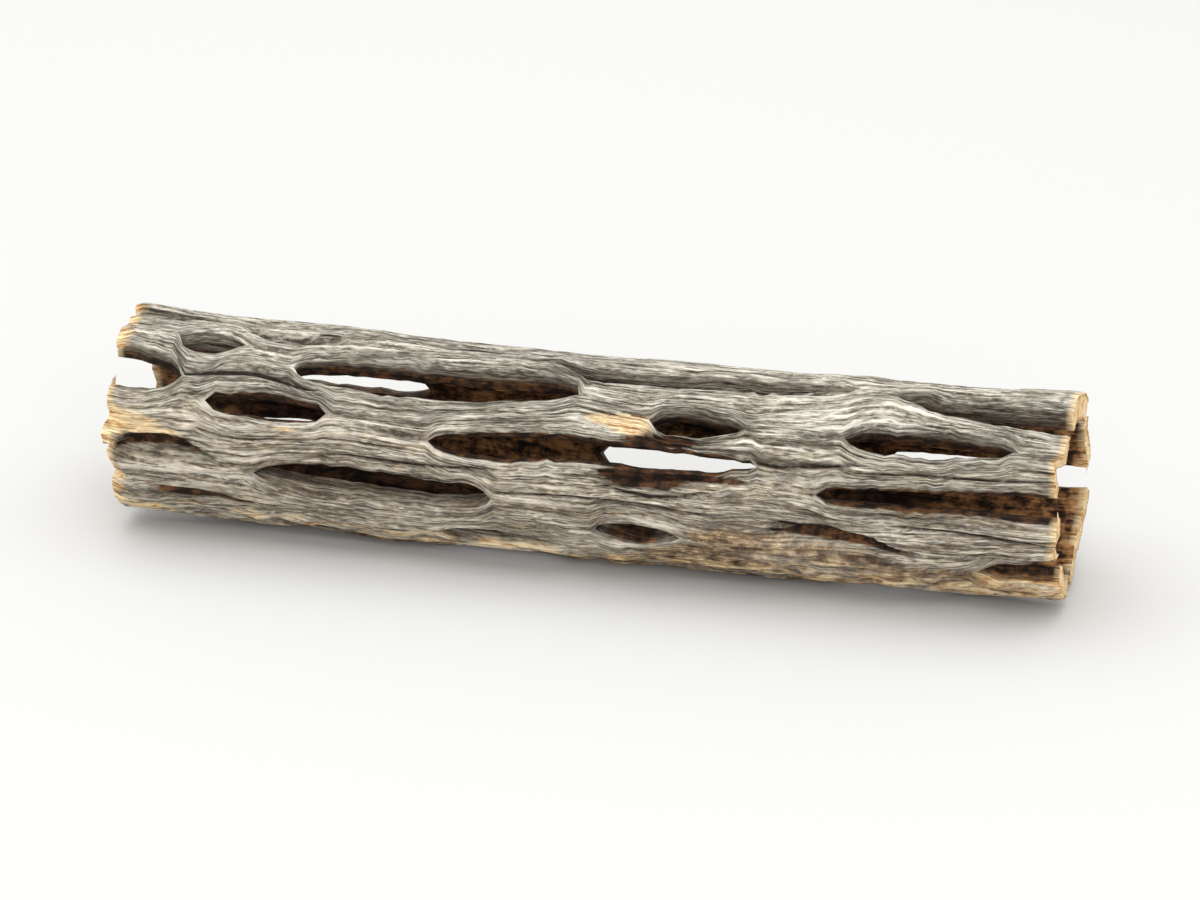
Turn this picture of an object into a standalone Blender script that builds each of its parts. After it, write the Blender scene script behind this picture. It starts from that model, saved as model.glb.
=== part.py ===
"""Cholla cactus skeleton: a sawn length of the hollow, netted wood that a cholla leaves when its flesh has gone.

Units are metres, +Z is up, and the log lies along X on the plane z = 0. Its fibres run along the log and part
round lens-shaped openings, so the wood is modelled as a sleeve of fibres that is slit along some of them. Each
slit is then spread to its true width, and the fibres beside it give way.

An angle on the log is in degrees round its axis: 0 is the top, 90 the front (-Y), 180 the underside and
-90 the back (+Y).
"""

from collections import namedtuple

import bmesh
import bpy
import numpy as np

MM = 0.001

# Driving dimensions of the log, in metres.
LENGTH = 152 * MM
RADIUS = 16.6 * MM
WALL = 4.4 * MM

# How finely the sleeve is divided: fibres round it, and stations along it.
FIBRES = 48
STATIONS = 42

# Form of every opening. Its outline is a lens, whose tips are blunter the smaller the power. It is narrower at
# the bore, and the fibres give way over the spread reach, in degrees to either side.
LENS_POWER = 0.5
BORE_SHARE = 0.8
SPREAD_REACH = 32.0
DRIFT_REACH = 12 * MM
SETTLING_ROUNDS = 4
SHOULDER_DROP = 0.8 * MM
SHOULDER_WIDTH = 0.45

# A pit is an opening that never broke through to the bore.
PIT_DEPTH = 2.6 * MM
PIT_EDGE = 0.35

# Slow swellings of the skin and of the bore.
SWELL = 0.2 * MM
SWELL_LENGTH = 52 * MM
BORE_SWELL = 0.3 * MM

# The log bends a little, so its ends lie higher and further back than its middle.
BEND_UP = 0.8 * MM
BEND_BACK = 0.5 * MM

# How unevenly the ends are cut, and how deep the flat is that the log has worn where it lies.
TRIM = 1.6 * MM
FLAT_DEPTH = 0.65 * MM

# An opening or a pit: where it starts and ends along X in mm, and its cuts, each at a place along X with the
# angles of its upper and lower edge there. One that runs past half the length was sawn through, and is open there.
Opening = namedtuple("Opening", "start end cuts")


def oval(angle, start, end, width):
    """An opening with even edges: its angle in degrees, its start and end along X in mm, and its width in mm."""
    half_angle = np.degrees(width / 2 * MM / RADIUS)
    return Opening(start, end, (((start + end) / 2, angle - half_angle, angle + half_angle),))


FRONT = (
    oval(-7, -92, -60, 4.4),
    Opening(-66, -55, ((-62, 10, 28), (-59, 9, 28))),
    Opening(-92, -64, ((-75, 27, 55), (-70, 29, 55), (-66, 34, 52))),
    Opening(-60, -40, ((-56, 51, 63), (-50, 49, 64), (-44, 51, 63))),
    Opening(-46, 0, ((-42, 23, 40), (-30, 18, 43), (-22, 18, 41), (-13, 15, 38), (-6, 17, 35))),
    Opening(-51, -13, ((-47, 91, 104), (-35, 87, 107), (-27, 88, 108), (-17, 89, 105))),
    Opening(-23, 29, ((-19, 60, 74), (-6, 55, 72), (4, 55, 71), (14, 56, 72), (24, 58, 69))),
    Opening(11, 26, ((14, 33, 49), (20, 32, 49))),
    Opening(-12, 42, ((-6, -4, 4), (0, 5, 17), (17, 4, 17), (27, -1, 15), (35, -2, 10))),
    Opening(42, 68, ((46, 35, 50), (56, 34, 51), (62, 36, 48))),
    Opening(48, 104, ((53, 3, 16), (60, 10, 24), (75, 8, 29))),
    Opening(38, 112, ((42, 70, 81), (55, 68, 82), (75, 66, 83))),
    Opening(63, 90, ((68, 116, 132), (75, 112, 130))),
    Opening(3, 17, ((7, 105, 120), (12, 105, 120))),
)

BACK = (
    oval(-24, -33, 6, 5.6),
    oval(-27, 12, 36, 4.4),
    oval(-25, 43, 66, 5.4),
    oval(-52, -78, -52, 5.4),
    oval(-54, -26, 4, 5.2),
    oval(-54, 18, 48, 5.6),
    oval(-53, 60, 94, 4.8),
    Opening(-62, -30, ((-50, -86, -66), (-38, -87, -66))),
    oval(-82, -16, 10, 5.2),
    oval(-84, 16, 38, 4.6),
    oval(-122, -62, -42, 5.4),
    Opening(-2, 34, ((4, -123, -100), (12, -122, -101), (26, -119, -104))),
    Opening(44, 130, ((50, -108, -89), (75, -110, -90))),
)

UNDERSIDE = (
    oval(-163, -45, -22, 5.8),
    oval(-130, -34, -9, 5.4),
    oval(-145, 36, 60, 5.8),
    oval(-144, -72, -54, 5.0),
    oval(-158, 4, 30, 5.4),
    oval(176, 62, 96, 5.2),
    oval(172, -94, -60, 5.6),
    oval(158, -26, -3, 5.2),
    oval(150, -52, -32, 5.4),
    oval(146, 8, 36, 5.6),
    oval(168, 38, 58, 4.8),
    oval(146, 50, 68, 4.6),
    oval(130, -22, -2, 4.6),
)

OPENINGS = FRONT + BACK + UNDERSIDE

PITS = (
    Opening(-86, -58, ((-72, 86, 101), (-64, 80, 98))),
    Opening(-65, -50, ((-61, 117, 138), (-55, 118, 135))),
    Opening(31, 51, ((36, 101, 109), (46, 107, 115))),
    Opening(4, 22, ((8, 69, 82), (16, 69, 83))),
    oval(-112, -30, -14, 4.6),
)

SKIN, BORE, SAWN = range(3)


def wood(name, colour, roughness):
    """A plain wood for one kind of surface."""
    material = bpy.data.materials.new(name)
    material.use_nodes = True
    shader = material.node_tree.nodes["Principled BSDF"]
    shader.inputs["Base Color"].default_value = (*colour, 1.0)
    shader.inputs["Roughness"].default_value = roughness
    shader.inputs["Metallic"].default_value = 0.0
    return material


def turned(angle):
    """The same angle between -180 and 180."""
    return (angle + 180.0) % 360.0 - 180.0


def lens(opening, x):
    """Share of an opening's full width at each place x along the log, from 0 at its tips to 1 at its middle."""
    middle = (opening.start + opening.end) / 2 * MM
    half_length = (opening.end - opening.start) / 2 * MM
    across = np.clip((x - middle) / half_length, -1, 1)
    return (1 - across**2) ** LENS_POWER


def outline(opening, x):
    """Angle of an opening's middle line and half of its width in degrees, at each place along the log."""
    places, upper, lower = np.array(opening.cuts, float).T
    fullness = (lower - upper) / 2 / lens(opening, places * MM)
    middle_angle = np.interp(x, places * MM, (upper + lower) / 2)
    return middle_angle, np.interp(x, places * MM, fullness) * lens(opening, x)


def drift_share(opening, x):
    """How far the fibres follow an opening to its own angle: wholly along it, and less and less past its tips."""
    past = np.maximum(opening.start * MM - x, x - opening.end * MM)
    share = np.clip(1 - past / DRIFT_REACH, 0, 1)
    return share * share * (3 - 2 * share)


def slit_line(opening):
    """The fibre line that an opening is slit along."""
    middle_angle = np.mean([(upper + lower) / 2 for _, upper, lower in opening.cuts])
    return round(middle_angle / 360 * FIBRES) % FIBRES


def part_fibres(x, middles, halves):
    """Angle of each fibre line at each station, after each opening in turn has pushed the fibres apart.

    The result has two copies of every line, because the wood to either side of a slit moves apart.
    """
    lines = np.arange(FIBRES) * 360.0 / FIBRES
    angle = np.tile(lines[None, :, None], (2, 1, len(x)))
    for opening, middle, half in zip(OPENINGS, middles, halves):
        line = slit_line(opening)
        centre = angle[:, line].mean(axis=0)
        away = turned(angle - centre)
        side = np.sign(away)
        side[0, line] = -1
        side[1, line] = 1
        near = np.clip(1 - np.abs(away) / SPREAD_REACH, 0, 1)
        drift = turned(middle - centre) * drift_share(opening, x)
        angle += near * (side * half + drift)
    return angle


def spread(x, width_share):
    """The fibre lines with every opening at its place and at this share of its width.

    Openings push their neighbours aside, so what each one is given is corrected until all lie where they should.
    """
    wanted_middles, wanted_halves = np.array([outline(opening, x) for opening in OPENINGS]).transpose(1, 0, 2)
    wanted_halves = wanted_halves * width_share
    middles = wanted_middles.copy()
    halves = wanted_halves.copy()
    for _ in range(SETTLING_ROUNDS):
        angle = part_fibres(x, middles, halves)
        for index, opening in enumerate(OPENINGS):
            upper, lower = angle[:, slit_line(opening)]
            inside = wanted_halves[index] > 0
            middles[index] += np.where(inside, turned(wanted_middles[index] - (upper + lower) / 2), 0)
            halves[index] += np.where(inside, wanted_halves[index] - (lower - upper) / 2, 0)
        halves = np.maximum(halves, 0)
    return part_fibres(x, middles, halves)


def outside(opening, angle, x):
    """How far a place lies outside an opening, in half sizes: below 0 inside it and 0 on its outline."""
    middle = (opening.start + opening.end) / 2 * MM
    half_length = (opening.end - opening.start) / 2 * MM
    cuts = np.array(opening.cuts, float)
    middle_angle = np.interp(x, cuts[:, 0] * MM, cuts[:, 1:].mean(axis=1))
    half_angle = (cuts[:, 2] - cuts[:, 1]).max() / 2
    along = (x - middle) / half_length
    across = turned(angle - middle_angle) / half_angle
    return np.hypot(along, across) - 1


def shoulder(angle, x):
    """How far the skin drops towards the mouth of the nearest opening, from 0 to 1."""
    drop = np.zeros_like(angle)
    for opening in OPENINGS:
        away = np.maximum(outside(opening, angle, x), 0)
        drop = np.maximum(drop, np.exp(-away / SHOULDER_WIDTH))
    return drop


def pitted(angle, x):
    """How deep a place lies in the nearest pit, from 0 to 1."""
    depth = np.zeros_like(angle)
    for pit in PITS:
        share = np.clip((PIT_EDGE - outside(pit, angle, x)) / (2 * PIT_EDGE), 0, 1)
        depth = np.maximum(depth, share * share * (3 - 2 * share))
    return depth


def skin_radius(angle, x):
    """Radius of the outer surface: a slow swelling, less the shoulder of each opening and the pits."""
    turn = np.radians(angle)
    along = 2 * np.pi * x / SWELL_LENGTH
    swell = SWELL * (np.sin(2 * turn + along) + np.sin(3 * turn - 1.7 * along)) / 2
    return RADIUS - SWELL + swell - SHOULDER_DROP * shoulder(angle, x) - PIT_DEPTH * pitted(angle, x)


def bore_radius(angle, x):
    """Radius of the hollow inside."""
    turn = np.radians(angle)
    along = 2 * np.pi * x / SWELL_LENGTH
    return RADIUS - WALL + BORE_SWELL * np.sin(3 * turn + 1.3 * along)


def placed(angle, x, radius):
    """Points on the bent log."""
    turn = np.radians(angle)
    bend = (2 * x / LENGTH) ** 2
    across = BEND_BACK * bend - radius * np.sin(turn)
    height = BEND_UP * bend + radius * np.cos(turn)
    return np.stack(np.broadcast_arrays(x, across, height), axis=-1)


def slit_span(opening, x):
    """First and last station of a slit. Either is None where the saw cut through the opening."""
    first = None
    last = None
    if opening.start * MM > x[0]:
        first = int(np.abs(x - opening.start * MM).argmin())
    if opening.end * MM < x[-1]:
        last = int(np.abs(x - opening.end * MM).argmin())
    return first, last


def open_places(x):
    """Which places on each fibre line lie inside a slit, and so have two copies."""
    opened = np.zeros((FIBRES, len(x)), bool)
    for opening in OPENINGS:
        first, last = slit_span(opening, x)
        start = 0 if first is None else first + 1
        stop = len(x) if last is None else last
        opened[slit_line(opening), start:stop] = True
    return opened


def places_along(x):
    """Where each fibre line meets each station, once the slits have their true ends and the log its uneven cuts."""
    places = np.tile(x, (2, FIBRES, 1))
    for opening in OPENINGS:
        first, last = slit_span(opening, x)
        line = slit_line(opening)
        if first is not None:
            places[:, line, first] = opening.start * MM
        if last is not None:
            places[:, line, last] = opening.end * MM
    turn = np.arange(FIBRES) * 2 * np.pi / FIBRES
    left = 0.5 - 0.3 * np.cos(turn - 1.5) + 0.2 * np.sin(7 * turn)
    right = 0.3 + 0.15 * np.sin(3 * turn + 1) + 0.15 * np.sin(8 * turn)
    places[:, :, 0] += TRIM * (left - left.min())
    places[:, :, -1] -= TRIM * (right - right.min())
    return places


def add_sheet(mesh, points, opened):
    """Adds the vertices of one surface, and returns them by copy, line and station."""
    corners = np.empty(points.shape[:3], object)
    for line, station in np.ndindex(opened.shape):
        corners[0, line, station] = mesh.verts.new(points[0, line, station])
        if opened[line, station]:
            corners[1, line, station] = mesh.verts.new(points[1, line, station])
        else:
            corners[1, line, station] = corners[0, line, station]
    return corners


def add_face(mesh, corners, material):
    face = mesh.faces.new(corners)
    face.material_index = material
    face.smooth = True


def add_walls(mesh, skin, bore, opened):
    """Joins the skin and the bore into one closed body."""
    last = opened.shape[1] - 1
    for line in range(FIBRES):
        after = (line + 1) % FIBRES
        for station in range(last):
            ahead = station + 1
            strip = [(1, line, station), (0, after, station), (0, after, ahead), (1, line, ahead)]
            add_face(mesh, [skin[key] for key in strip], SKIN)
            add_face(mesh, [bore[key] for key in reversed(strip)], BORE)
            if opened[line, station] or opened[line, ahead]:
                left = [(0, line, ahead), (0, line, station)]
                right = [(1, line, station), (1, line, ahead)]
                for edge in (left, right):
                    rim = [skin[edge[0]], skin[edge[1]], bore[edge[1]], bore[edge[0]]]
                    add_face(mesh, rim, SKIN)
        for station, step in ((0, 1), (last, -1)):
            end = [skin[0, after, station], skin[1, line, station], bore[1, line, station], bore[0, after, station]]
            add_face(mesh, end[::step], SAWN)


def make_skeleton():
    """The whole log, in one piece as it grew."""
    x = np.linspace(-LENGTH / 2, LENGTH / 2, STATIONS + 1)
    opened = open_places(x)
    places = places_along(x)
    skin_angle = spread(x, 1.0)
    bore_angle = spread(x, BORE_SHARE)
    skin_points = placed(skin_angle, places, skin_radius(skin_angle, places))
    bore_points = placed(bore_angle, places, bore_radius(bore_angle, places))

    lowest = skin_points[..., 2].min()
    skin_points[..., 2] = np.maximum(skin_points[..., 2], lowest + FLAT_DEPTH)
    low = skin_points.reshape(-1, 3).min(axis=0)
    high = skin_points.reshape(-1, 3).max(axis=0)
    base = np.array([(low[0] + high[0]) / 2, (low[1] + high[1]) / 2, low[2]])

    mesh = bmesh.new()
    skin = add_sheet(mesh, skin_points - base, opened)
    bore = add_sheet(mesh, bore_points - base, opened)
    add_walls(mesh, skin, bore, opened)
    data = bpy.data.meshes.new("cholla_skeleton")
    mesh.to_mesh(data)
    mesh.free()
    data.set_sharp_from_angle(angle=np.radians(50))

    data.materials.append(wood("weathered_skin", (0.42, 0.39, 0.34), 0.85))
    data.materials.append(wood("dark_bore", (0.16, 0.10, 0.06), 0.9))
    data.materials.append(wood("sawn_wood", (0.78, 0.62, 0.42), 0.8))
    log = bpy.data.objects.new("cholla_skeleton", data)
    bpy.context.scene.collection.objects.link(log)
    return log


def main():
    for thing in list(bpy.data.objects):
        bpy.data.objects.remove(thing)
    make_skeleton()


if __name__ == "__main__":
    main()
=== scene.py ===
"""Looks of a cholla cactus skeleton: a sawn length of the hollow, netted wood, lying on a plain pale floor.

The wood is a sleeve of fibres that run along the log and part round its openings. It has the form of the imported
solid, with the grain, cracks, worn rims and torn ends that the solid leaves out.

Lengths are in metres, except in the tables, where places along the log are in mm. Angles are in degrees round the
log's axis: 0 is the top, 90 the front (-Y), 180 the underside and -90 the back.
"""

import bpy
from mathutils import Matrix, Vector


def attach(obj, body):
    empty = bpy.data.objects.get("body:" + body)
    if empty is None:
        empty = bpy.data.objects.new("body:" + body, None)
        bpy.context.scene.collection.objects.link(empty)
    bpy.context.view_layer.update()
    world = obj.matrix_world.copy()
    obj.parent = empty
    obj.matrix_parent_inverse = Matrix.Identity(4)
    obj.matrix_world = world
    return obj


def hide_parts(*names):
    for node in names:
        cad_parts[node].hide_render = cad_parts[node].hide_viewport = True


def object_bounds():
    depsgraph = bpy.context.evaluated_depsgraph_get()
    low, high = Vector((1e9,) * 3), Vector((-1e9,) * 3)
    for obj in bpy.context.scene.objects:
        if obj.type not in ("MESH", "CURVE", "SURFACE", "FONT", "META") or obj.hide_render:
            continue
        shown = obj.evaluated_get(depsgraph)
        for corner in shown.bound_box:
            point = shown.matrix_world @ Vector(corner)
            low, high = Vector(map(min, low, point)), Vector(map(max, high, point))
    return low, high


bl_info = {
    "name": "Cholla Cactus Skeleton",
    "version": (1, 0, 0),
    "blender": (4, 5, 0),
    "location": "3D View > Sidebar > Cholla",
    "description": "Builds a hollow, netted length of cholla wood on a plain floor",
    "category": "Add Mesh",
}

from collections import namedtuple

import bpy
import numpy as np
from bpy.props import FloatProperty, FloatVectorProperty, PointerProperty
from mathutils import Vector

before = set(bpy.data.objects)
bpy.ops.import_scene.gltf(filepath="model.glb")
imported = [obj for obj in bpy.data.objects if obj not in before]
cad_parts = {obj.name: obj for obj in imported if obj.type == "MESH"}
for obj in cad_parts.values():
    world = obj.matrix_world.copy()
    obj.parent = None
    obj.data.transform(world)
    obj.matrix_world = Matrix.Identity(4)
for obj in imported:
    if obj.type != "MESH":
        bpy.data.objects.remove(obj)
CAD_LOW, CAD_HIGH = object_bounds()

MM = 0.001

# How finely the wood is divided: fibres round it, stations along it, how many fibres of the skin share one of the
# bore, and how far through the wall each point between the two lies.
FIBRES = 480
STATIONS = 110
BORE_STEP = 2
WALL_SHARES = (0.05, 0.2, 0.42, 0.66, 0.88)
WALL_ROWS = len(WALL_SHARES) + 1

# The skin's radius in mm, where the log's axis lies at its middle, and how far its ends lie higher and further back.
SKIN_RADIUS = 16.6
AXIS_HEIGHT = 15.89 * MM
AXIS_ACROSS = -0.23 * MM
BEND_UP = 0.8 * MM
BEND_BACK = 0.5 * MM

# How fibres part round an opening: the share of its width that it has in the bore, how far round the log it pushes
# them in degrees, how far past its tips they follow it, and the rounds in which the openings find their places.
BORE_SHARE = 0.8
SPREAD_REACH = 32.0
DRIFT_REACH = 12 * MM
SETTLING_ROUNDS = 4

# How torn an opening's edges are: the spacing of the torn fibres in mm with their share, and, in degrees, how far its
# middle sways and how far its edges stray at most. A narrow opening strays by this share of its half width.
TORN_STEPS = ((5.3, 0.35), (1.45, 0.65))
SWAY = 0.7
STRAY = 1.2
STRAY_SHARE = 0.35

# Slow swellings of the skin and of the bore.
SWELL = 0.2 * MM
SWELL_LENGTH = 52 * MM
BORE_SWELL = 0.3 * MM

# How deep the finer forms of the skin are. A chip's depth is a share of its length.
FINE_SPLIT_DEPTH = 0.45 * MM
WAVE_DEPTH = 0.45 * MM
FLAKE_DEPTH = 0.16 * MM
CRUMB_DEPTH = 0.5 * MM
CHIP_SHARE = 0.45

# How many short splits the skin has, and how far from the log's ends their wear fades out.
FINE_SPLITS = 240
WEAR_REACH = 8 * MM

# The finer forms of the bore, and how far the wall of an opening bulges and is rough.
BORE_LINE_DEPTH = 0.35 * MM
BORE_LUMP = 0.3 * MM
WALL_BULGE = 0.32 * MM
WALL_ROUGHNESS = 0.1 * MM
SAW_MARK = 0.14 * MM

# Faces that meet at a sharper angle than this keep an edge between them.
EDGE_ANGLE = 78

# Colours on screen that only tint others, and how much the dry wood shines.
UMBER = (0.24, 0.13, 0.06)
# The near black darkens the deepest bore, and it also paints shade in the walls, the bore and the deepest splits.
DARK_AND_SHADE_BLACK = (0.06, 0.035, 0.02)
DULL_GREY = (0.62, 0.61, 0.56)
WOOD_SHEEN = 0.25

# How far the floor reaches from the log, and the point that the lights face.
FLOOR_REACH = 3.0
LIT_POINT = (0, 0, 0.01)

# The camera's aim, its distance from it, its angles in degrees, and its lens in mm, which is long enough to frame the
# piece alone.
AIM = (0.65 * MM, 0.4 * MM, 16.75 * MM)
CAMERA_DISTANCE = 1.2
CAMERA_AZIMUTH = 13.5
CAMERA_ELEVATION = 24
CAMERA_LENS = 120 * 1.92

# An opening: where it starts and ends along X in mm, its cuts, each at a place along X with the angles of its upper
# and lower edge there, how much painted shade darkens its wall, from 0 for grey to 1 for the brown of the bore, and
# the power of its lens, whose tips are blunter the smaller it is.
Opening = namedtuple("Opening", "start end cuts dark power", defaults=(0.3, 0.5))

# A hollow in the skin: where it starts and ends, its cuts, as an opening has, and its depth in mm.
Pit = namedtuple("Pit", "start end cuts depth")

# A split in the skin: its points, each a place along X and an angle, its width and its depth, in mm.
Crack = namedtuple("Crack", "points width depth")

# A mark on the skin: its place along X, its angle, and its half length and half width in mm.
Mark = namedtuple("Mark", "place angle half_length half_width")


def ovals(*rows):
    """Openings with even edges: each row has its angle in degrees, its start and end along X, and its width, in mm."""
    openings = []
    for angle, start, end, width in rows:
        half_angle = np.degrees(width / 2 / SKIN_RADIUS)
        openings.append(Opening(start, end, (((start + end) / 2, angle - half_angle, angle + half_angle),)))
    return tuple(openings)


def marks(*rows):
    """Marks, one for each row of numbers."""
    return tuple(Mark(*row) for row in rows)


FRONT = (
    *ovals((-7, -92, -60, 4.4)),
    Opening(-66, -55, ((-62.5, 10, 28), (-59.5, 9, 28), (-57, 12, 23)), 0.15),
    Opening(-92, -64, ((-75, 27, 55), (-70, 29, 55), (-66.5, 33, 52.6)), 0.4),
    Opening(-59.6, -40, ((-56.5, 51.2, 63.2), (-50, 48.4, 64.8), (-43.5, 50.8, 63.6)), 1.0, 0.25),
    Opening(-46.3, -0.6, (
        (-43.5, 24, 38.5), (-38, 21, 40.3), (-30, 17.7, 43), (-22, 17.9, 41.2), (-13, 15, 38), (-6, 16.7, 35.3),
    ), 0.45),
    Opening(-51.3, -12.9, (
        (-48, 91.3, 103.3), (-42, 88.4, 106), (-35, 86.8, 106.8), (-27, 88.5, 108), (-20, 89.3, 106.7),
        (-15.5, 89.7, 104),
    ), 1.0),
    Opening(-23.4, 28.8, (
        (-20, 60, 73.3), (-13, 57.2, 74.5), (-4, 54.6, 71.5), (3, 55.3, 69.9), (14, 56, 71.6), (21, 57, 71),
        (26, 58.6, 67.5),
    ), 1.0, 0.4),
    Opening(11, 26.1, ((13.5, 33.3, 49.2), (18, 32.1, 49.8), (23, 35.5, 46.8)), 0.2, 0.4),
    Opening(-12, 41.6, ((-6, -4, 4), (0, 4.7, 17.2), (8, 6, 19), (17, 4, 17), (27, -1, 15.6), (36, -3, 9.6)), 0.2),
    Opening(41.8, 68.2, ((44.5, 35.3, 49.1), (50, 34.4, 50.3), (56, 34.4, 51.1), (62, 36.6, 48.4)), 0.5),
    Opening(48.4, 104, ((52, 1, 14), (57, 9.9, 22.9), (63, 8, 24.6), (69, 7, 28), (75, 8, 29)), 0.5),
    Opening(38.4, 112, ((41, 70.1, 80.8), (46, 69.1, 81.7), (55, 68.5, 82.3), (65, 66, 81.3), (75, 66, 83.3)), 1.0),
    Opening(63, 90, ((66, 116.4, 132.4), (70, 115.5, 132), (75, 112, 130)), 0.9),
    Opening(3.4, 17, ((6, 105.3, 119), (10, 104.9, 120.5), (14, 106, 117.2)), 0.9),
)

BACK = (
    *ovals(
        (-24, -33, 6, 5.6), (-27, 12, 36, 4.4), (-25, 43, 66, 5.4), (-52, -78, -52, 5.4), (-54, -26, 4, 5.2),
        (-54, 18, 48, 5.6), (-53, 60, 94, 4.8),
    ),
    Opening(-62, -29.6, ((-50, -86, -66), (-34, -87, -66)), 0.4, 0.14),
    *ovals((-82, -16, 10, 5.2), (-84, 16, 38, 4.6), (-119, -60.5, -40.5, 6.6)),
    Opening(-2, 34, ((2, -123, -100), (12, -122, -101), (26, -119, -104)), 0.4, 0.14),
    Opening(44, 130, ((47, -108, -89), (75, -110, -90)), 0.4, 0.25),
)

UNDERSIDE = ovals(
    (-163, -45, -22, 5.8), (-130, -34, -9, 5.4), (-145, 36, 60, 5.8), (-144, -72, -54, 5.0), (-158, 4, 30, 5.4),
    (176, 62, 96, 5.2), (172, -94, -60, 5.6), (158, -26, -3, 5.2), (150, -52, -32, 5.4), (146, 8, 36, 5.6),
    (168, 38, 58, 4.8), (146, 50, 68, 4.6), (130, -22, -2, 4.6),
)

OPENINGS = FRONT + BACK + UNDERSIDE

PITS = (
    Pit(-96, -57.5, (
        (-76, 91, 107), (-74, 89, 106), (-71.5, 83.5, 104), (-68.4, 80, 103), (-65, 79, 102), (-61, 83.5, 101),
        (-59, 88, 98),
    ), 3.6),
    Pit(-68, -51, ((-65, 112.5, 136), (-60, 114, 142), (-54, 118, 140)), 1.0),
    Pit(30, 54, ((32, 98, 108), (36, 97.5, 114), (40, 97, 116), (46, 101, 118), (50, 105.5, 117)), 1.6),
    Pit(56, 88, ((58, 109, 113), (64, 107.5, 120), (70, 106.5, 122), (76, 106, 122)), 1.8),
    Pit(3, 22, ((6, 72, 81), (12, 72, 86), (18, 71, 83)), 1.3),
    Pit(-30, -14, ((-22, -120, -104),), 2.4),
)

# Splits that show from the front, and some on the sides that the photograph hides.
CRACKS = (
    Crack((
        (-65.5, 43), (-60.9, 40.8), (-57.1, 38), (-54.4, 36.8), (-52.4, 36.7), (-49.5, 38.2), (-45, 42.1),
        (-42.1, 44.2),
    ), 0.8, 1.4),
    Crack(((-56, 1), (-53.7, 6), (-51.9, 8.5), (-48.8, 8.5), (-44.5, 7.5), (-39, 7)), 0.9, 1.2),
    Crack(((26.7, 60), (31.6, 61.8), (36.9, 60), (41.4, 58.3), (45, 57)), 0.5, 1.2),
    Crack(((24, 18), (28, 16.8), (30.8, 15.1), (35.5, 12.1), (39, 11)), 0.45, 0.9),
    Crack(((-36, 79), (-28, 80.5), (-20, 80), (-12, 78)), 0.35, 0.6),
    Crack(((-10, 92), (0, 90), (12, 91), (24, 95)), 0.35, 0.6),
    Crack(((44, 62), (54, 60), (66, 60), (76, 58)), 0.35, 0.6),
    Crack(((50, 91), (60, 92), (70, 95), (76, 96)), 0.4, 0.8),
    Crack(((30.5, 97), (33, 95.6), (36, 97), (40, 96), (43, 99), (46.5, 99.8), (49.4, 105), (52.5, 107)), 0.75, 1.5),
    Crack(((4, 80), (8, 84), (12.5, 86), (17, 84.5), (21, 80.5)), 0.55, 0.7),
    Crack(((-20, -65), (-8, -68), (4, -66)), 0.5, 1.0),
    Crack(((30, -70), (42, -74), (52, -73)), 0.5, 1.0),
    Crack(((-46, -40), (-38, -38), (-28, -40)), 0.45, 0.9),
    Crack(((-74, -140), (-60, -132), (-50, -133)), 0.45, 0.9),
    Crack(((6, -140), (20, -136), (34, -138)), 0.45, 0.9),
    Crack(((-14, 170), (0, 172), (16, 176)), 0.4, 0.8),
)

# Where bare, unweathered wood shows through the grey skin, where thin dark marks lie on it and where it takes the
# brown of the bore.
PEELED = marks(
    (8.2, 46.3, 3.0, 1.8), (4.2, 43.8, 2.4, 0.8), (-46.0, 68.3, 1.6, 0.4), (-71.5, 73.0, 4.5, 1.2),
    (-70.0, 78.0, 5.5, 0.5), (33.0, -44.0, 6.0, 1.2), (-52.0, -104.0, 5.0, 1.0),
)
DARK_MARKS = marks((10.0, 40.6, 2.6, 0.25), (24.0, 10.0, 5.0, 1.2), (-40.0, 1.0, 5.0, 0.35), (-19.0, 0.0, 6.0, 0.3))
BROWN_MARKS = marks(
    (3.2, 43.2, 1.5, 0.3), (13.0, 53.0, 5.6, 0.9), (10.5, 75.0, 6.6, 1.7), (21.0, 72.4, 6.5, 0.6),
    (-66.5, 82.5, 4.6, 0.9), (-60.0, 119.0, 5.0, 1.3),
)

# Where painted shade makes the bore black instead of brown.
SHADED = marks(
    (-50, -104, 11, 5.0), (-32, -152, 20, 5.0), (-4, -60, 4.5, 4.0), (18, -80, 8.0, 3.0), (45, -128, 6.5, 4.0),
)

# Where the grey skin gives way to tan wood, low on the side: the angle by place along X in mm.
TAN_EDGE = (
    (-76, 148), (-40, 145), (-10, 139), (2, 134), (8, 126), (14, 110), (22, 97), (35, 98), (46, 102), (52, 108),
    (60, 115), (70, 122), (76, 125),
)

# How far the dark wood of the bore is lightened to rust and orange, by place along X in mm: painted light where
# light reaches into the bore, strongest at the right end.
BORE_PAINTED_LIGHT = (
    (-76, 0.5), (-68, 0.15), (-58, 0), (-42, 0), (-30, 0.3), (-20, 0.55), (-13, 0.3), (-6, 0.5), (4, 0.3), (30, 0.1),
    (46, 0.1), (52, 0.4), (62, 0.5), (76, 0.85),
)

# How far each end is worn back from the full length, in mm, by angle.
LEFT_WEAR = (
    (-180, 0.8), (-150, 0.2), (-120, 0.6), (-96, 0.7), (-86, 0.0), (-78, 0.3), (-60, 0.6), (-36, 0.4), (-16, 0.2),
    (9, 1.0), (16, 0.0), (24, 0.1), (30, 0.4), (56, 0.8), (65, 0.7), (74, 1.0), (80, 0.1), (86, 0.0), (94, 0.7),
    (99, 0.2), (102, 1.2), (107, 3.3), (110.5, 3.4), (114, 1.3), (128, 0.8), (138, 0.5), (160, 1.1), (180, 0.8),
)
RIGHT_WEAR = (
    (-180, 0.4), (-150, 0.9), (-112, 0.2), (-88, 0.3), (-70, 0.8), (-40, 0.1), (-10, 0.4), (5, 0.1), (43, 0.1),
    (47, 1.5), (55, 1.1), (61, 0.6), (65, 0.8), (84, 0.1), (95, 0.1), (106, 1.0), (111, 0.7), (116, 0.0), (150, 0.0),
    (180, 0.4),
)

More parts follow.
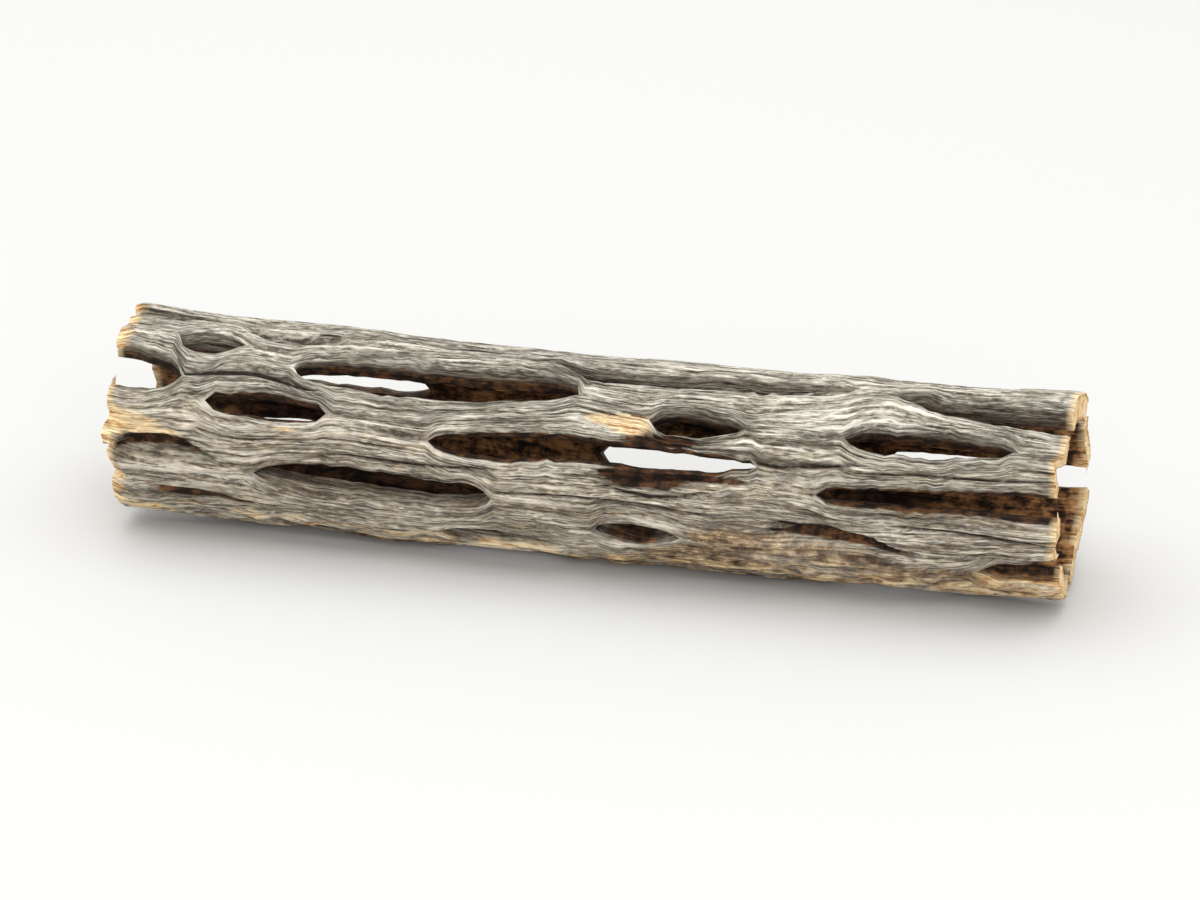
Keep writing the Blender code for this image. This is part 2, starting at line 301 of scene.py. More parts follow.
# How wide the chips are that lay the ends bare, in mm, by angle.
LEFT_CHIPS = (
    (-180, 0.6), (-120, 1.2), (-70, 0.7), (-20, 0.8), (3, 1.8), (12, 1.2), (20, 2.6), (30, 1.6), (56, 0.5), (66, 1.2),
    (70, 3.6), (82, 4.4), (88, 1.8), (95, 1.0), (104, 0.8), (114, 1.1), (130, 1.6), (142, 0.8), (180, 0.6),
)
RIGHT_CHIPS = ((-180, 0.4), (-90, 0.7), (0, 0.4), (40, 0.6), (58, 0.35), (90, 0.5), (115, 1.0), (150, 0.7), (180, 0.4))

# The columns of the table that holds every point of the wood. The rim column is a painted highlight along the
# openings' lower rims. Beside the wood's own colours, the warm column holds painted light on lower walls and in the
# bore, the bare column a painted highlight on some lower rims, and the inner and groove columns painted shade.
PLACE, ANGLE, RADIUS, TURN, DEPTH, INNER, GROOVE, RIM_HIGHLIGHT, WARM, BARE = range(10)
COLUMNS = 10
SHADES = {"depth": DEPTH, "inner": INNER, "groove": GROOVE, "rim": RIM_HIGHLIGHT, "warm": WARM, "bare": BARE}

WEATHERED, SAWN = range(2)


def distance_property(name, description, default):
    """A length in metres."""
    return FloatProperty(name=name, description=description, default=default, subtype="DISTANCE", unit="LENGTH")


def colour_property(name, description, default):
    """A colour as it looks on screen."""
    return FloatVectorProperty(
        name=name, description=description, default=default, size=3, min=0, max=1, subtype="COLOR_GAMMA"
    )


def power_property(name, description, default):
    """The power of a light in watts."""
    return FloatProperty(name=name, description=description, default=default, min=0, unit="POWER")


class SkeletonSizes(bpy.types.PropertyGroup):
    """Sizes of the log and of the wear on it"""

    length: distance_property("Length", "Length of the log", CAD_HIGH.x - CAD_LOW.x)
    radius: distance_property("Radius", "Radius of the skin before it is worn", SKIN_RADIUS * MM)
    wall: distance_property("Wall", "Thickness of the wood", 4.4 * MM)
    mouth_drop: distance_property("Mouth drop", "How far the skin sinks at the rim of an opening", 0.35 * MM)
    mouth_width: distance_property("Mouth width", "How far from the rim the skin starts to sink", 1.1 * MM)
    grain_depth: distance_property("Grain depth", "Depth of the grooves between fibres", 0.5 * MM)


class WoodColours(bpy.types.PropertyGroup):
    """Colours of the wood, as they look on screen"""

    pale: colour_property("Pale grey", "Light fibres of the skin", (0.92, 0.90, 0.85))
    grey: colour_property("Grey", "The skin between light and dark", (0.67, 0.64, 0.58))
    grain: colour_property("Dark grain", "Grooves between fibres", (0.24, 0.21, 0.18))
    bore: colour_property("Bore", "The hollow and the inner wall", (0.30, 0.205, 0.14))
    rust: colour_property("Rust", "Red brown patches in the bore", (0.56, 0.38, 0.24))
    tan: colour_property("Tan", "Wood of the underside", (0.68, 0.56, 0.42))
    orange: colour_property("Orange", "Stained bare wood", (0.81, 0.61, 0.38))
    cream: colour_property("Cream", "Freshly cut wood", (0.97, 0.88, 0.71))


class StageSettings(bpy.types.PropertyGroup):
    """The floor and the light"""

    floor: colour_property("Floor", "Colour of the floor", (0.81, 0.81, 0.81))
    daylight: FloatProperty(name="Daylight", description="Strength of the light from all round", default=1.06, min=0)
    key: power_property("Key light", "Power of the large soft light above", 4.8)
    fill: power_property("Fill light", "Power of the soft light in front", 2.2)


def turned(angle):
    """The same angle between -180 and 180."""
    return (angle + 180.0) % 360.0 - 180.0


def smooth(share):
    """A soft step from 0 to 1."""
    share = np.clip(share, 0, 1)
    return share * share * (3 - 2 * share)


def by_angle(table, angle):
    """Values between the rows of a table of angles and values."""
    angles, values = np.array(table, float).T
    return np.interp(turned(angle), angles, values)


def by_place(table, x):
    """Values between the rows of a table of places along the log and values."""
    places, values = np.array(table, float).T
    return np.interp(x, places * MM, values)


def lens(opening, x):
    """Share of an opening's full width at each place x along the log, from 0 at its tips to 1 at its middle."""
    middle = (opening.start + opening.end) / 2 * MM
    half_length = (opening.end - opening.start) / 2 * MM
    across = np.clip((x - middle) / half_length, -1, 1)
    return (1 - across**2) ** opening.power


def outline(opening, x):
    """Angle of an opening's middle line and half of its width in degrees, at each place along the log."""
    places, upper, lower = np.array(opening.cuts, float).T
    fullness = (lower - upper) / 2 / lens(opening, places * MM)
    middle_angle = np.interp(x, places * MM, (upper + lower) / 2)
    return middle_angle, np.interp(x, places * MM, fullness) * lens(opening, x)


def ragged_outline(index, opening, x):
    """An opening's outline with the small steps that torn fibres leave."""
    draw = np.random.default_rng(500 + index)
    middle_angle, half = outline(opening, x)
    sway = np.zeros(np.shape(x))
    torn = np.zeros(np.shape(x))
    for spacing, share in TORN_STEPS:
        steps = np.arange(-110, 112, spacing) * MM
        sway = sway + share * np.interp(x, steps, draw.uniform(-1, 1, len(steps)))
        torn = torn + share * np.interp(x, steps, draw.uniform(-1, 1, len(steps)))
    return middle_angle + SWAY * sway, np.maximum(half + np.minimum(half * STRAY_SHARE, STRAY) * torn, 0)


def drift_share(opening, x):
    """How far the fibres follow an opening to its own angle: wholly along it, and less and less past its tips."""
    past = np.maximum(opening.start * MM - x, x - opening.end * MM)
    return smooth(1 - past / DRIFT_REACH)


def slit_line(opening):
    """The fibre that an opening is slit along. The bore has fewer lines, so it is one that the bore has too."""
    middle_angle = np.mean([(upper + lower) / 2 for _, upper, lower in opening.cuts])
    return round(middle_angle / 360 * FIBRES / BORE_STEP) * BORE_STEP % FIBRES


def part_fibres(x, middles, halves):
    """Angle of each fibre line at each station, after each opening in turn has pushed the fibres apart."""
    lines = np.arange(FIBRES) * 360.0 / FIBRES
    angle = np.tile(lines[None, :, None], (2, 1, len(x)))
    for opening, middle, half in zip(OPENINGS, middles, halves):
        line = slit_line(opening)
        centre = angle[:, line].mean(axis=0)
        away = turned(angle - centre)
        side = np.sign(away)
        side[0, line] = -1
        side[1, line] = 1
        near = np.clip(1 - np.abs(away) / SPREAD_REACH, 0, 1)
        drift = turned(middle - centre) * drift_share(opening, x)
        angle += near * (side * half + drift)
    return angle


def spread(x, width_share):
    """The fibre lines with every opening at its place and at this share of its width."""
    outlines = [ragged_outline(index, opening, x) for index, opening in enumerate(OPENINGS)]
    wanted_middles, wanted_halves = np.array(outlines).transpose(1, 0, 2)
    wanted_halves = wanted_halves * width_share
    middles = wanted_middles.copy()
    halves = wanted_halves.copy()
    for _ in range(SETTLING_ROUNDS):
        angle = part_fibres(x, middles, halves)
        for index, opening in enumerate(OPENINGS):
            upper, lower = angle[:, slit_line(opening)]
            inside = wanted_halves[index] > 0
            middles[index] += np.where(inside, turned(wanted_middles[index] - (upper + lower) / 2), 0)
            halves[index] += np.where(inside, wanted_halves[index] - (lower - upper) / 2, 0)
        halves = np.maximum(halves, 0)
    return part_fibres(x, middles, halves)


def slit_span(opening, x):
    """First and last station of a slit. Either is None where the saw cut through the opening."""
    first = None
    last = None
    if opening.start * MM > x[0]:
        first = int(np.abs(x - opening.start * MM).argmin())
    if opening.end * MM < x[-1]:
        last = int(np.abs(x - opening.end * MM).argmin())
    return first, last


def open_places(x):
    """Which places on each fibre line lie inside a slit, and so have two copies."""
    opened = np.zeros((FIBRES, len(x)), bool)
    for opening in OPENINGS:
        first, last = slit_span(opening, x)
        start = 0 if first is None else first + 1
        stop = len(x) if last is None else last
        line = slit_line(opening)
        if opened[line, max(start - 1, 0) : stop + 1].any():
            raise ValueError(f"two openings share the fibre at {opening.start} mm")
        opened[line, start:stop] = True
    return opened


def slit_stations(opening, x):
    """The stations along a slit, with those at its tips."""
    first, last = slit_span(opening, x)
    return range(0 if first is None else first, len(x) if last is None else last + 1)


def painted_wall_shade(x):
    """How much painted shade darkens the walls of the openings, by fibre line and station."""
    dark = np.zeros((FIBRES, len(x)))
    for opening in OPENINGS:
        dark[slit_line(opening), slit_stations(opening, x)] = opening.dark
    return dark


def places_along(sizes, x, angle):
    """Where each fibre meets each station, once slits have their true ends and the log its worn ones."""
    places = np.tile(x, (2, FIBRES, 1))
    for opening in OPENINGS:
        first, last = slit_span(opening, x)
        line = slit_line(opening)
        if first is not None:
            places[:, line, first] = opening.start * MM
        if last is not None:
            places[:, line, last] = opening.end * MM
    from_left = np.clip(1 - (places + sizes.length / 2) / WEAR_REACH, 0, 1)
    from_right = np.clip(1 - (sizes.length / 2 - places) / WEAR_REACH, 0, 1)
    places += from_left * by_angle(LEFT_WEAR, angle) * MM
    places -= from_right * by_angle(RIGHT_WEAR, angle) * MM
    return places


def wood_noise(turn, x, across, along, seed):
    """Soft noise from 0 to 1 that follows the fibres. It has this many cells round the log, of this length."""
    draw = np.random.default_rng(seed)
    grid = draw.random((across, int(0.2 / along) + 3))
    u = turn * across
    v = (x + 0.1) / along
    column = np.floor(u).astype(int)
    row = np.floor(v).astype(int)
    s = smooth(u - column)
    t = smooth(v - row)
    column = column % across
    after = (column + 1) % across
    near = grid[column, row] * (1 - s) + grid[after, row] * s
    far = grid[column, row + 1] * (1 - s) + grid[after, row + 1] * s
    return near * (1 - t) + far * t


def grain_lines(turn, x, across, along, width, seed):
    """Thin wandering lines along the fibres, from 0 between them to 1 in their middle."""
    return np.clip(1 - np.abs(wood_noise(turn, x, across, along, seed) - 0.5) / width, 0, 1)


def rim_distance(sizes, angle, x):
    """Distance in metres along the skin to the nearest opening's rim, and whether the place lies below that opening."""
    nearest = np.full(angle.shape, 1.0)
    below = np.zeros(angle.shape, bool)
    for index, opening in enumerate(OPENINGS):
        inside = np.clip(x, opening.start * MM, opening.end * MM)
        middle_angle, half = ragged_outline(index, opening, inside)
        aside = turned(angle - middle_angle)
        away = np.maximum(np.abs(aside) - half, 0)
        distance = np.hypot((x - inside) * 0.5, np.radians(away) * sizes.radius)
        below = np.where(distance < nearest, aside * turned(angle) > 0, below)
        nearest = np.minimum(nearest, distance)
    return nearest, below


def mouth(sizes, distance):
    """How far the skin sinks towards an opening, rounded like a worn edge."""
    share = 1 - np.clip(distance / sizes.mouth_width, 0, 1)
    return sizes.mouth_drop * (1 - np.sqrt(1 - share**2))


def pitted(angle, x):
    """How deep in metres a place lies in a pit, and how much painted shade darkens it there. The upper edge is steep
    and overhangs, and the shade lies under it.
    """
    depth = np.zeros(angle.shape)
    dark = np.zeros(angle.shape)
    for pit in PITS:
        middle = (pit.start + pit.end) / 2 * MM
        half_length = (pit.end - pit.start) / 2 * MM
        places, uppers, lowers = np.array(pit.cuts, float).T
        upper = np.interp(x, places * MM, uppers)
        lower = np.interp(x, places * MM, lowers)
        across = turned(angle - (upper + lower) / 2) / ((lower - upper) / 2)
        along = np.clip(1 - ((x - middle) / half_length) ** 2, 0, 1)
        floor = smooth((across + 1.04) / 0.2) * (1 - smooth((across + 0.7) / 1.8))
        depth = np.maximum(depth, along**0.6 * floor * pit.depth * MM)
        # Painted shade under the overhanging upper edge.
        ledge_shade = smooth((across + 1.04) / 0.15) * (1 - smooth((across + 0.6) / 0.7))
        dark = np.maximum(dark, np.minimum(1.4 * along**0.3 * ledge_shade, 1))
    return depth, dark


def crack_depth(sizes, angle, x):
    """Depth of the splits, and how much painted shade darkens them, from 0 to 1."""
    depth = np.zeros(angle.shape)
    dark = np.zeros(angle.shape)
    for crack in CRACKS:
        places, angles = np.array(crack.points, float).T
        start, end = places[0] * MM, places[-1] * MM
        along = np.clip((2 * x - start - end) / (end - start), -1, 1)
        width = crack.width * MM * np.sqrt(1 - along**2) + 1e-6
        away = np.radians(np.abs(turned(angle - np.interp(x, places * MM, angles)))) * sizes.radius
        share = np.clip(1.4 - away / width, 0, 1) * (np.abs(along) < 1)
        depth = np.maximum(depth, share * crack.depth * MM)
        dark = np.maximum(dark, share)
    return depth, dark


def fine_cracks(sizes, turn, x):
    """Many short splits along the fibres, from 0 to 1."""
    draw = np.random.default_rng(77)
    share = np.zeros(turn.shape)
    for _ in range(FINE_SPLITS):
        middle_turn = draw.random()
        middle = draw.uniform(-0.5, 0.5) * sizes.length
        half_length = draw.uniform(2.5, 9) * MM
        width = draw.uniform(0.14, 0.26) * MM
        sway = draw.uniform(-0.4, 0.4) * MM
        along = (x - middle) / half_length
        away = ((turn - middle_turn + 0.5) % 1 - 0.5) * 2 * np.pi * sizes.radius - sway * along**2
        reach = width * np.sqrt(np.clip(1 - along**2, 0, 1)) + 1e-7
        share = np.maximum(share, np.clip(1.3 - np.abs(away) / reach, 0, 1) * (np.abs(along) < 1))
    return share


def marked(sizes, marks, angle, x):
    """How strongly a mark shows at each place, from 0 to 1."""
    share = np.zeros(angle.shape)
    ragged = 0.5 * wood_noise(angle / 360 % 1, x, 90, 0.0032, 41)
    for mark in marks:
        along = (x - mark.place * MM) / (mark.half_length * MM)
        away = np.radians(turned(angle - mark.angle)) * sizes.radius / (mark.half_width * MM)
        share = np.maximum(share, smooth((1.0 + ragged - np.hypot(along, away)) / 0.3))
    return share


def end_chips(sizes, angle, turn, x):
    """How deep the ends are chipped in metres, and how bare the wood is there from 0 to 1."""
    ragged = 0.45 + 1.1 * wood_noise(turn, x, 90, 0.2, 31)
    left = by_angle(LEFT_CHIPS, angle) * MM * ragged - (x + sizes.length / 2 - by_angle(LEFT_WEAR, angle) * MM)
    right = by_angle(RIGHT_CHIPS, angle) * MM * ragged - (sizes.length / 2 - by_angle(RIGHT_WEAR, angle) * MM - x)
    chip = np.maximum(np.maximum(left, right), 0)
    return chip, np.clip(chip / (0.35 * MM), 0, 1)


def swelling(angle, x):
    """The slow swelling of the skin."""
    turn = np.radians(angle)
    along = 2 * np.pi * x / SWELL_LENGTH
    return SWELL * (np.sin(2 * turn + along) + np.sin(3 * turn - 1.7 * along)) / 2 - SWELL


def fibre_angles(x, opened, width_share):
    """The fibre lines, with both copies of a line in one place wherever it isn't slit."""
    angle = spread(x, width_share)
    joined = ~opened
    angle[:, joined] = angle[:, joined].mean(axis=0)
    return angle


def skin_table(sizes, x, opened):
    """Every point of the skin, by copy, line and station."""
    angle = fibre_angles(x, opened, 1.0)
    places = places_along(sizes, x, angle)
    turn = np.broadcast_to(np.arange(FIBRES)[None, :, None] / FIBRES, angle.shape)

    distance, below = rim_distance(sizes, angle, places)
    pit, pit_shade = pitted(angle, places)
    split, split_shade = crack_depth(sizes, angle, places)
    fine_split = fine_cracks(sizes, turn, places)
    chip, fresh = end_chips(sizes, angle, turn, places)
    wander = turn + 0.006 * (wood_noise(turn, places, 9, 0.021, 5) - 0.5)
    coarse = grain_lines(wander, places, 96, 0.017, 0.17, 1)
    middling = grain_lines(wander, places, 150, 0.010, 0.15, 2)
    waves = wood_noise(turn, places, 30, 0.024, 3)
    chips = wood_noise(turn, places, 170, 0.0028, 4)
    grooves = np.maximum(coarse * smooth(wood_noise(turn, places, 22, 0.012, 6) * 1.9 - 0.3), 0.55 * middling)
    grooves = grooves * (0.75 + 0.5 * np.exp(-distance / (2.5 * MM)))
    side = np.abs(turned(angle))
    crumbs = smooth((wood_noise(turn, places, 75, 0.0034, 9) - 0.45) * 3) * smooth((side - 112) / 20)

    table = np.zeros(angle.shape + (COLUMNS,))
    table[..., PLACE] = places
    table[..., ANGLE] = angle
    table[..., RADIUS] = (
        sizes.radius
        + swelling(angle, places)
        - mouth(sizes, distance)
        - pit
        - split
        - FINE_SPLIT_DEPTH * fine_split
        - CHIP_SHARE * chip
        - sizes.grain_depth * grooves
        - WAVE_DEPTH * waves
        - FLAKE_DEPTH * chips
        - CRUMB_DEPTH * crumbs
    )
    table[..., TURN] = turn
    # Brown marks, where the skin takes the colour of the bore, and thin dark marks.
    worn = marked(sizes, BROWN_MARKS, angle, places)
    darkened = marked(sizes, DARK_MARKS, angle, places)
    pit_floor = np.clip(pit / MM, 0, 1)
    flecked_rim = smooth((wood_noise(turn, places, 160, 0.0022, 14) - 0.35) * 4) * np.exp(-distance / (0.6 * MM))
    # Painted shade under the pits' upper edges and in the splits goes into these columns, beside the marks and grain.
    table[..., INNER] = np.maximum.reduce([worn, pit_shade, 0.25 * pit_floor])
    table[..., GROOVE] = np.maximum.reduce(
        [0.8 * grooves, split_shade, 0.85 * fine_split, darkened, 0.8 * worn, 0.6 * pit_shade, 0.75 * flecked_rim]
    )
    # Painted highlight: the skin just below each opening's rim is lit pale.
    table[..., RIM_HIGHLIGHT] = np.exp(-distance / (0.4 * MM)) * below
    tan_edge = by_place(TAN_EDGE, places) + 16 * (wood_noise(turn, places, 34, 0.009, 7) - 0.5)
    tanned = 0.3 * smooth((side - 35) / 40) + 0.7 * smooth((side - tan_edge) / 14)
    table[..., WARM] = np.maximum(tanned, 0.6 * pit_floor) * (1 - 0.9 * np.maximum(pit_shade, worn))
    seam = np.exp(-(((side - 141) / 9) ** 2))
    flakes = smooth((wood_noise(turn, places, 100, 0.0034, 8) - 0.5) * 7) * seam
    # Painted highlight in the colours of bare wood along the lower rims, low on the front near the right end.
    painted_rim_light = 0.9 * table[..., RIM_HIGHLIGHT] * (angle > 112) * (places > 55 * MM)
    table[..., BARE] = np.maximum.reduce([fresh, 0.8 * marked(sizes, PEELED, angle, places), 0.8 * flakes, painted_rim_light])
    return table


def bore_table(sizes, x, opened):
    """Every point of the bore, by copy, line and station."""
    angle = fibre_angles(x, opened, BORE_SHARE)
    places = places_along(sizes, x, angle)
    angle = angle[:, ::BORE_STEP]
    places = places[:, ::BORE_STEP]
    turn = np.broadcast_to(np.arange(0, FIBRES, BORE_STEP)[None, :, None] / FIBRES, angle.shape)
    along = 2 * np.pi * places / SWELL_LENGTH
    lines = grain_lines(turn, places, 90, 0.012, 0.2, 11)
    table = np.zeros(angle.shape + (COLUMNS,))
    table[..., PLACE] = places
    table[..., ANGLE] = angle
    table[..., RADIUS] = sizes.radius - sizes.wall + BORE_SWELL * np.sin(3 * np.radians(angle) + 1.3 * along)
    table[..., RADIUS] += BORE_LINE_DEPTH * lines + BORE_LUMP * (wood_noise(turn, places, 40, 0.006, 12) - 0.5)
    table[..., TURN] = turn
    table[..., DEPTH] = 1
    table[..., INNER] = 1
    table[..., GROOVE] = np.maximum(0.7 * lines, 0.85 * marked(sizes, SHADED, angle, places))
    # Painted light: the bore is lighter where light reaches into it.
    table[..., WARM] = by_place(BORE_PAINTED_LIGHT, places)
    from_end = sizes.length / 2 - np.abs(places)
    table[..., BARE] = np.clip(2 - from_end / (0.5 * MM) / (0.5 + 2 * wood_noise(turn, places, 70, 0.2, 13)), 0, 1)
    return table


def numbered(opened):
    """Numbers the places of a sheet by copy, line and station. An open place has a number for each side."""
    first = np.arange(opened.size).reshape(opened.shape)
    second = first.copy()
    second[opened] = opened.size + np.arange(opened.sum())
    return np.stack([first, second])


def listed(table, opened):
    """The rows of a sheet's table in the order of their numbers."""
    return np.concatenate([table[0].reshape(-1, table.shape[-1]), table[1][opened]])


def column_keys(x, opened):
    """Where the wall has points between the skin and the bore: along every slit, and all round both ends."""
    places = [(slit_line(opening), station) for opening in OPENINGS for station in slit_stations(opening, x)]
    places += [(line, station) for station in (0, len(x) - 1) for line in range(FIBRES)]
    keys = [(copy, line, station) for line, station in places for copy in range(1 + opened[line, station])]
    return list(dict.fromkeys(keys))


def wall_table(sizes, keys, skin, bore, opened, wall_shade):
    """The points between the skin and the bore, by key and row."""
    copy, line, station = np.array(keys).T
    dark = wall_shade[line, station][:, None]
    outer = skin[copy, line, station]
    odd = line % BORE_STEP == 1
    low_line = line // BORE_STEP
    high_line = np.where(odd, low_line + 1, low_line) % (FIBRES // BORE_STEP)
    low = bore[copy, low_line, station]
    high = bore[np.where(odd, 0, copy), high_line, station]
    inner = low.copy()
    inner[:, PLACE] = (low[:, PLACE] + high[:, PLACE]) / 2
    inner[:, ANGLE] = low[:, ANGLE] + turned(high[:, ANGLE] - low[:, ANGLE]) / 2
    inner[:, RADIUS] = (low[:, RADIUS] + high[:, RADIUS]) / 2
    inner[:, ANGLE] = outer[:, ANGLE] + turned(inner[:, ANGLE] - outer[:, ANGLE])
    inner[:, TURN] = outer[:, TURN]

    share = np.array(WALL_SHARES)[None, :, None]
    rows = outer[:, None] * (1 - share) + inner[:, None] * share
    share = share[..., 0]
    slit = opened[line, station][:, None]
    side = np.where(copy == 0, 1, -1)[:, None]
    draw = np.random.default_rng(91)
    rough = draw.uniform(-1, 1, rows.shape[:2])
    bulge = WALL_BULGE * np.sin(np.pi * share**0.7) + WALL_ROUGHNESS * rough
    rows[..., ANGLE] += np.where(slit, np.degrees(bulge / rows[..., RADIUS]) * side, 0)
    at_left = (station == 0)[:, None]
    at_right = (station == opened.shape[1] - 1)[:, None]
    saw = SAW_MARK * (rough + 1)
    rows[..., PLACE] += np.where(at_left, saw, 0) - np.where(at_right, saw, 0)
    rows[..., DEPTH] = share
    away = np.abs(turned(rows[..., ANGLE]))
    lower_edge = side * turned(rows[..., ANGLE]) < 0
    # Painted light: lower walls that face up are lighter and warmer, and walls near the top are lighter.
    painted_light_facing_up = np.where(lower_edge, smooth((away - 80) / 15) * (1 - smooth((away - 112) / 8)), 0)
    rounded = 0.5 * (1 - smooth((away - 6) / 16)) * (1 - dark)
    # Each opening's painted shade darkens its wall beyond the wall's own turn to brown inwards.
    tone = np.minimum(0.1 + share + 0.8 * dark, 1) * (1 - 0.7 * painted_light_facing_up) * (1 - rounded)
    rows[..., INNER] = np.maximum(tone, outer[:, None, INNER] * (1 - share))
    rows[..., WARM] = np.maximum(0.4 * outer[:, None, WARM] * (1 - share), 0.6 * painted_light_facing_up)
    # Painted shade: each wall darkens past the first fifth of its depth.
    rows[..., GROOVE] = np.maximum(rows[..., GROOVE] * (1 - share), 0.65 * smooth(share / 0.2))
    # Painted highlight along the outer edge of each opening's lower wall.
    rows[..., RIM_HIGHLIGHT] = np.exp(-share * 5) * lower_edge
    rows[..., BARE] = np.where(at_left | at_right, 1, outer[:, None, BARE] * (1 - share) ** 8)
    return rows


def placed(sizes, table):
    """The points of the bent log in the row frame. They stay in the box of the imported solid."""
    turn = np.radians(table[:, ANGLE])
    bend = (2 * table[:, PLACE] / sizes.length) ** 2
    across = AXIS_ACROSS + BEND_BACK * bend - table[:, RADIUS] * np.sin(turn)
    height = AXIS_HEIGHT + BEND_UP * bend + table[:, RADIUS] * np.cos(turn)
    points = np.stack([table[:, PLACE], across, height], axis=1)
    return np.clip(points, np.array(CAD_LOW), np.array(CAD_HIGH))


def grain_space(sizes, table):
    """Where each point lay before the fibres parted, so that the grain follows them."""
    turn = 2 * np.pi * table[:, TURN]
    radius = sizes.radius - sizes.wall * table[:, DEPTH]
    return np.stack([table[:, PLACE], radius * np.sin(turn), radius * np.cos(turn)], axis=1)


def sheet_faces(numbers):
    """The faces of one sheet, wound outwards."""
    after = np.roll(numbers[0], -1, axis=0)
    quads = [numbers[1][:, :-1], after[:, :-1], after[:, 1:], numbers[1][:, 1:]]
    return np.stack(quads, axis=-1).reshape(-1, 4)


def join_walls(x, opened, skin_numbers, bore_numbers, columns):
    """Faces of the opening's walls and of both ends, and which of them are sawn."""
    def column(copy, line, station):
        if not opened[line, station]:
            copy = 0
        numbers = [skin_numbers[copy, line, station], *columns[(copy, line, station)]]
        if line % BORE_STEP == 0:
            numbers.append(bore_numbers[copy, line // BORE_STEP, station])
        return numbers

    walls = []
    for opening in OPENINGS:
        line = slit_line(opening)
        for station in slit_stations(opening, x)[:-1]:
            for near, far in (((0, station + 1), (0, station)), ((1, station), (1, station + 1))):
                a = column(near[0], line, near[1])
                b = column(far[0], line, far[1])
                walls += [(a[row], b[row], b[row + 1], a[row + 1]) for row in range(WALL_ROWS)]
    ends = []
    for station, step in ((0, 1), (len(x) - 1, -1)):
        for line in range(FIBRES):
            a = column(0, (line + 1) % FIBRES, station)
            b = column(1, line, station)
            ends += [(a[row], b[row], b[row + 1], a[row + 1])[::step] for row in range(WALL_ROWS - 1)]
            if line % BORE_STEP == 0:
                c = column(0, (line + 2) % FIBRES, station)
                last_row = WALL_ROWS - 1
                ends.append((c[last_row], a[last_row], b[last_row], b[-1], c[-1])[::step])
    return walls, ends


def finish_mesh(name, points, faces, grain, shades, materials):
    """Makes an object with smooth faces, its grain and its shades."""
    mesh = bpy.data.meshes.new(name)
    mesh.from_pydata(points.tolist(), [], faces)
    mesh.shade_smooth()
    attribute = mesh.attributes.new("grain", "FLOAT_VECTOR", "POINT")
    attribute.data.foreach_set("vector", grain.astype(np.float32).ravel())
    for shade, values in shades.items():
        attribute = mesh.attributes.new(shade, "FLOAT", "POINT")
        attribute.data.foreach_set("value", values.astype(np.float32))
    for material in materials:
        mesh.materials.append(material)
    piece = bpy.data.objects.new(name, mesh)
    bpy.context.scene.collection.objects.link(piece)
    return piece


def linear(colour):
    """A colour from the screen as the shaders take it."""
    colour = np.array(colour[:], float)
    return (*np.where(colour <= 0.04045, colour / 12.92, ((colour + 0.055) / 1.055) ** 2.4), 1.0)


class NodeBoard:
    """Lays out the nodes of one material. It takes colours as they look on screen."""

    def __init__(self, name):
        self.material = bpy.data.materials.new(name)
        self.material.use_nodes = True
        self.tree = self.material.node_tree
        self.shader = self.tree.nodes["Principled BSDF"]

    def feed(self, inputs, values):
        """Links each input to a socket, or sets its value."""
        for name, value in values.items():
            if isinstance(value, bpy.types.NodeSocket):
                self.tree.links.new(value, inputs[name])
            else:
                inputs[name].default_value = value

    def add(self, kind, values, **settings):
        """Adds a node with these settings and feeds its inputs."""
        node = self.tree.nodes.new("ShaderNode" + kind)
        for setting, value in settings.items():
            setattr(node, setting, value)
        self.feed(node.inputs, values)
        return node

    def shade(self, name):
        node = self.add("Attribute", {}, attribute_type="GEOMETRY", attribute_name=name)
        return node.outputs["Vector"] if name == "grain" else node.outputs["Fac"]

    def math(self, operation, first, second):
        return self.add("Math", {0: first, 1: second}, operation=operation).outputs[0]

    def times(self, first, second):
        return self.math("MULTIPLY", first, second)

    def weighed(self, share, first, second):
        """This share of one value and the rest of another."""
        return self.math("ADD", self.times(first, share), self.times(second, 1 - share))

    def noise(self, grain, along, scale, detail, roughness):
        """Noise that follows the grain. Its cells are longer the less it is scaled along the log."""
        stretched = self.add("VectorMath", {0: grain, 1: (along, 1000, 1000)}, operation="MULTIPLY").outputs["Vector"]
        values = {"Vector": stretched, "Scale": scale, "Detail": detail, "Roughness": roughness}
        return self.add("TexNoise", values).outputs["Fac"]

    def step(self, value, low, high, to_low=0.0, to_high=1.0):
        values = {"Value": value, "From Min": low, "From Max": high, "To Min": to_low, "To Max": to_high}
        return self.add("MapRange", values, interpolation_type="SMOOTHSTEP").outputs["Result"]

    def furrows(self, value, width):
        """Thin lines where a noise passes its middle."""
        away = self.math("ABSOLUTE", self.math("SUBTRACT", value, 0.5), 0)
        return self.step(away, 0, width, 1, 0)

    def ramp(self, value, stops):
        node = self.add("ValToRGB", {"Fac": value})
        elements = node.color_ramp.elements
        while len(elements) < len(stops):
            elements.new(0.5)
        for element, (position, colour) in zip(elements, stops):
            element.position = position
            element.color = linear(colour)
        return node.outputs["Color"]

    def mix(self, share, under, over):
        """Lays this share of a colour, or of another socket, over a colour socket."""
        node = self.add("Mix", {}, data_type="RGBA")
        inputs = {socket.identifier: socket for socket in node.inputs}
        outputs = {socket.identifier: socket for socket in node.outputs}
        over = over if isinstance(over, bpy.types.NodeSocket) else linear(over)
        self.feed(inputs, {"Factor_Float": share, "A_Color": under, "B_Color": over})
        return outputs["Result_Color"]

    def finish(self, colour, roughness, height, distance):
        """Gives the material its colour, its roughness and its fine relief."""
        bump = self.add("Bump", {"Distance": distance, "Strength": 1.0, "Height": height})
        values = {"Base Color": colour, "Roughness": roughness, "Specular IOR Level": WOOD_SHEEN}
        self.feed(self.shader.inputs, {**values, "Normal": bump.outputs["Normal"]})


def mixed(first, second, share):
    """A colour between two others."""
    return tuple(a * (1 - share) + b * share for a, b in zip(first, second))


